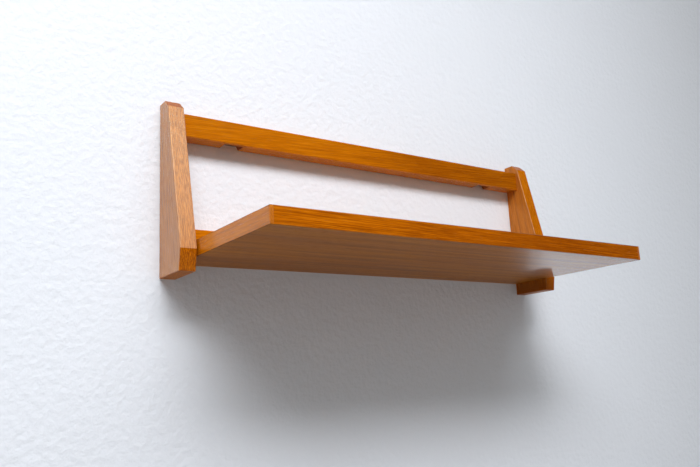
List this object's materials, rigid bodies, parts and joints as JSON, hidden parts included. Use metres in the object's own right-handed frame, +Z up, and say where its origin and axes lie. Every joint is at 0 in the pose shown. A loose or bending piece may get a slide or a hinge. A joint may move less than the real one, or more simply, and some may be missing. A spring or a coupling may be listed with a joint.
{
  "type": "wall shelf",
  "caption": "Wooden wall shelf: a deep lipped board between the feet of tapered uprights, tied by cross rails and hung on keyhole plates behind the upper rail.",
  "frame": {"origin": "on the wall's face, midway between the entry holes of the two keyhole plates", "axes": "+X along the wall to the viewer's right, +Y into the wall, +Z up; the shelf stands out from the wall towards -Y"},
  "size_m": [0.812, 0.302, 0.281],
  "materials": {
    "oak_upright": "oak under amber satin lacquer, grain upright",
    "oak_rail": "oak under amber satin lacquer, grain along the rail",
    "oak_lipping": "solid oak strip under amber satin lacquer",
    "oak_veneer": "straight-grained oak veneer under amber semi-gloss lacquer",
    "chipboard": "raw pressed chipboard, bare at the back edge",
    "beech_dowel": "bare beech",
    "plate_steel": "zinc-plated pressed steel",
    "screw_steel": "bright steel wood screw"
  },
  "bodies": {
    "root": {"left_upright": "oak_upright", "right_upright": "oak_upright", "upper_rail": "oak_rail", "lower_rail": "oak_rail", "shelf_core": "chipboard", "front_lipping": "oak_lipping", "left_end_lipping": "oak_lipping", "right_end_lipping": "oak_lipping", "top_veneer": "oak_veneer", "bottom_veneer": "oak_veneer", "cross_dowels": "beech_dowel", "left_upper_rail_dowels": "beech_dowel", "left_lower_rail_dowel": "beech_dowel", "left_board_dowels": "beech_dowel", "right_upper_rail_dowels": "beech_dowel", "right_lower_rail_dowel": "beech_dowel", "right_board_dowels": "beech_dowel", "left_hanger_plate": "plate_steel", "right_hanger_plate": "plate_steel", "left_hanger_screws": "screw_steel", "right_hanger_screws": "screw_steel"}
  },
  "joints": []
}
